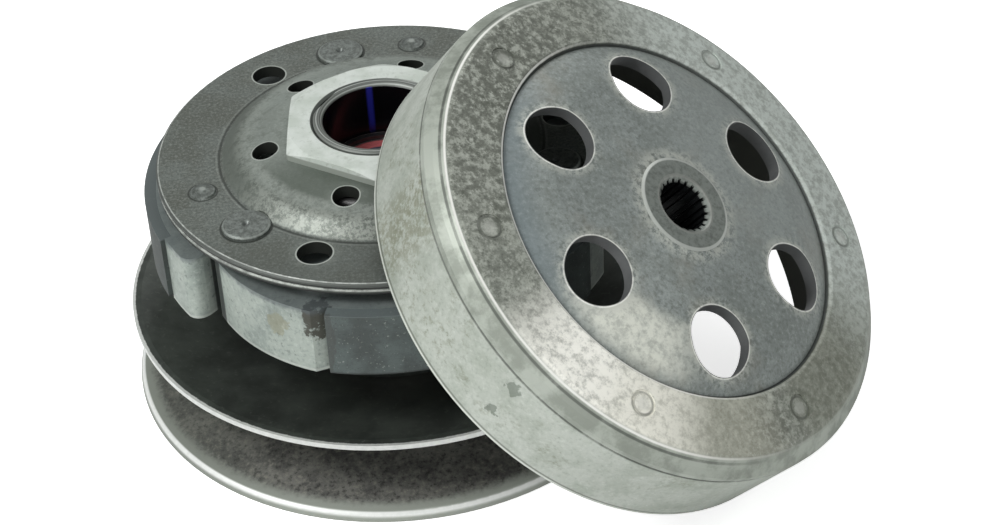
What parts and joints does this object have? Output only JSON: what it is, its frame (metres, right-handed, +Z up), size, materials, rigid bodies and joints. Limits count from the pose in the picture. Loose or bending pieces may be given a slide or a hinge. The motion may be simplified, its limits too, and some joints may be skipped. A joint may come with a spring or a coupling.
{
  "type": "clutch assembly",
  "caption": "Belt-driven pulley with a centrifugal shoe clutch on top, and its splined clutch bell leaning against it, as taken off the shaft.",
  "frame": {"origin": "middle of the ball bearing's bore, on the clutch's axis, 54 mm above the standing plane", "axes": "+Z up along the clutch's axis, away from the surface that it stands on; the bell leans on it at the side of +X and -Y; -Y faces the viewer of the picture"},
  "size_m": [0.1879, 0.1677, 0.1023],
  "materials": {
    "fixed_sheave_steel": "worn, dark brown-grey",
    "movable_sheave_steel": "worn, dark charcoal with a bright rim",
    "tube_steel": "turned, lightly oiled",
    "bearing_steel": "ground",
    "bearing_cage_steel": "pressed",
    "bearing_seal_rubber": "maroon, satin",
    "clip_steel": "blackened",
    "oil_seal_rubber": "satin",
    "seat_steel": "pressed, dull",
    "spring_steel": "dark, dull",
    "plate_steel": "pressed, mottled dark grey",
    "nut_steel": "bright zinc, worn",
    "pin_steel": "riveted, worn",
    "damper_rubber": "matt",
    "shoe_aluminium": "cast, stained",
    "lining_material": "friction lining with light specks",
    "bell_steel": "pressed, stained, with a patina",
    "bell_hub_steel": "turned and welded"
  },
  "bodies": {
    "hub": {"fixed_sheave": "fixed_sheave_steel", "hub_tube": "tube_steel", "needle_bearing_shell": "bearing_steel", "needle_bearing_cage": "bearing_cage_steel", "needle_bearing_rollers": "bearing_steel", "ball_bearing_outer_ring": "bearing_steel", "ball_bearing_balls": "bearing_steel", "ball_bearing_cage": "bearing_cage_steel", "ball_bearing_upper_seal": "bearing_seal_rubber", "ball_bearing_lower_seal": "bearing_seal_rubber", "bearing_snap_ring": "clip_steel", "guide_pins": "bearing_steel", "contra_spring": "spring_steel", "drive_plate": "plate_steel", "clutch_nut": "nut_steel", "pivot_pins": "pin_steel", "damper_pins": "pin_steel", "damper_rubbers": "damper_rubber", "side_plate": "plate_steel", "e_clips": "clip_steel", "bell_drum": "bell_steel", "bell_hub": "bell_hub_steel"},
    "bearing_inner_ring": {"ball_bearing_inner_ring": "bearing_steel"},
    "spring_seat": {"spring_seat": "seat_steel"},
    "movable_sheave": {"movable_sheave": "movable_sheave_steel", "cam_collar": "tube_steel", "lower_oil_seal": "oil_seal_rubber", "upper_oil_seal": "oil_seal_rubber", "lower_o_ring": "oil_seal_rubber", "upper_o_ring": "oil_seal_rubber"},
    "guide_roller_1": {"guide_roller_1": "bearing_steel"},
    "guide_roller_2": {"guide_roller_2": "bearing_steel"},
    "guide_roller_3": {"guide_roller_3": "bearing_steel"},
    "shoe_a": {"shoe_a": "shoe_aluminium", "lining_a": "lining_material", "return_spring_a": "spring_steel"},
    "shoe_b": {"shoe_b": "shoe_aluminium", "lining_b": "lining_material", "return_spring_b": "spring_steel"},
    "shoe_c": {"shoe_c": "shoe_aluminium", "lining_c": "lining_material", "return_spring_c": "spring_steel"}
  },
  "joints": [
    {"name": "shaft_bearing_turn", "type": "hinge", "parent": "hub", "child": "bearing_inner_ring", "pos_m": [0, 0, 0], "axis": [0, 0, 1], "continuous": true},
    {"name": "sheave_travel", "type": "slide", "parent": "hub", "child": "spring_seat", "axis": [0, 0, 1], "range_m": [0, 0.013], "stiffness_N_per_m": 5000, "springref_m": -0.002, "deforming": ["contra_spring"]},
    {"name": "sheave_turn", "type": "hinge", "parent": "spring_seat", "child": "movable_sheave", "pos_m": [0, 0, 0], "axis": [0, 0, 1], "range_deg": [0, 36.05]},
    {"name": "guide_roller_1_turn", "type": "hinge", "parent": "hub", "child": "guide_roller_1", "pos_m": [0.01628, 0.0094, -0.012], "axis": [0.866, 0.5, 0], "continuous": true},
    {"name": "guide_roller_2_turn", "type": "hinge", "parent": "hub", "child": "guide_roller_2", "pos_m": [-0.01628, 0.0094, -0.012], "axis": [-0.866, 0.5, 0], "continuous": true},
    {"name": "guide_roller_3_turn", "type": "hinge", "parent": "hub", "child": "guide_roller_3", "pos_m": [0, -0.0188, -0.012], "axis": [0, -1, 0], "continuous": true},
    {"name": "shoe_a_swing", "type": "hinge", "parent": "hub", "child": "shoe_a", "pos_m": [-0.03399, -0.02965, 0], "axis": [0, 0, -1], "range_deg": [0, 2.4], "stiffness_Nm_per_rad": 2.7, "springref_deg": -0.57},
    {"name": "shoe_b_swing", "type": "hinge", "parent": "hub", "child": "shoe_b", "pos_m": [0.04267, -0.01461, 0], "axis": [0, 0, -1], "range_deg": [0, 2.4], "stiffness_Nm_per_rad": 2.7, "springref_deg": -0.57},
    {"name": "shoe_c_swing", "type": "hinge", "parent": "hub", "child": "shoe_c", "pos_m": [-0.00868, 0.04426, 0], "axis": [0, 0, -1], "range_deg": [0, 2.4], "stiffness_Nm_per_rad": 2.7, "springref_deg": -0.57}
  ],
  "couplings": [
    {"joint": "sheave_turn", "follows": "sheave_travel", "rad_per_m": 48.332}
  ]
}
